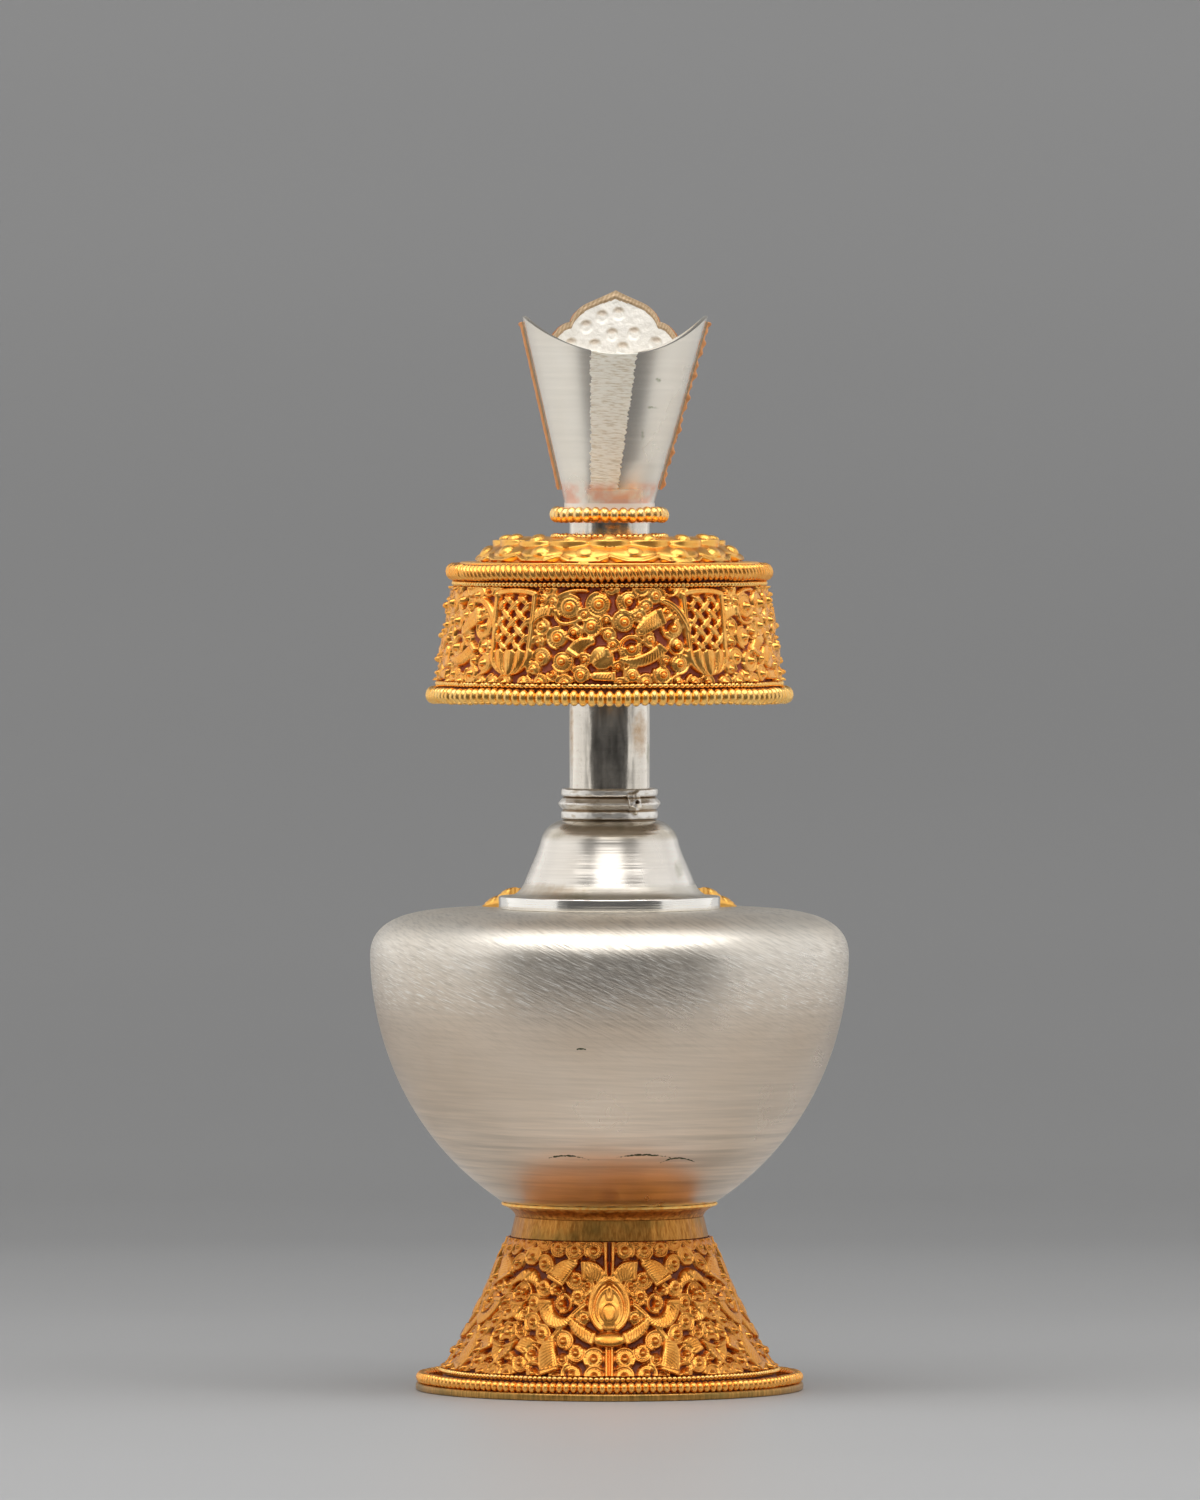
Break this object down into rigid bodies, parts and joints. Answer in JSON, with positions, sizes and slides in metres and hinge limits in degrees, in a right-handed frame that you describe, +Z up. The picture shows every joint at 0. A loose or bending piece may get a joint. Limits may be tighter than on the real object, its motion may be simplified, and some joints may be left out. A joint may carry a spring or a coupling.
{
  "type": "ritual water vase",
  "caption": "Footed silver and gilt ritual water vase with a round belly and a lift-out neck that carries an ornamented disc and a flared crown mouth.",
  "frame": {"origin": "centre of the face that the foot stands on", "axes": "+Z up along the vase's axis, -Y towards the plain side of the crown, +X to the right in the picture"},
  "size_m": [0.0958, 0.0958, 0.2201],
  "materials": {
    "silver": null,
    "gilt": "gilt copper, bright on the high places",
    "gilt_ground": "matt red-brown ground of the gilt copper"
  },
  "bodies": {
    "vase": {"foot_rim": "gilt", "foot_wire": "gilt", "foot_fine_wire": "gilt", "foot_liner": "gilt_ground", "foot_scrollwork": "gilt", "foot_collar": "gilt", "foot_sleeve": "gilt_ground", "belly_seat": "gilt", "belly_bowl": "silver", "belly_shoulder": "silver", "mouth_ferrule": "silver", "shoulder_petals": "gilt"},
    "neck": {"neck_spigot": "silver", "neck_bell": "silver", "neck_moulding": "silver", "neck_tube": "silver", "disc_underside": "gilt", "disc_wall": "gilt_ground", "disc_scrollwork": "gilt", "disc_lower_bead": "gilt", "disc_lower_wire": "gilt", "disc_upper_wire": "gilt", "disc_upper_bead": "gilt", "disc_lotus_cap": "gilt", "disc_cap_wire": "gilt", "crown_ring": "gilt", "crown_funnel": "silver", "crown_leaf": "gilt"}
  },
  "joints": [
    {"name": "neck_lift", "type": "slide", "parent": "vase", "child": "neck", "axis": [0, 0, 1], "range_m": [0, 0.03]}
  ]
}
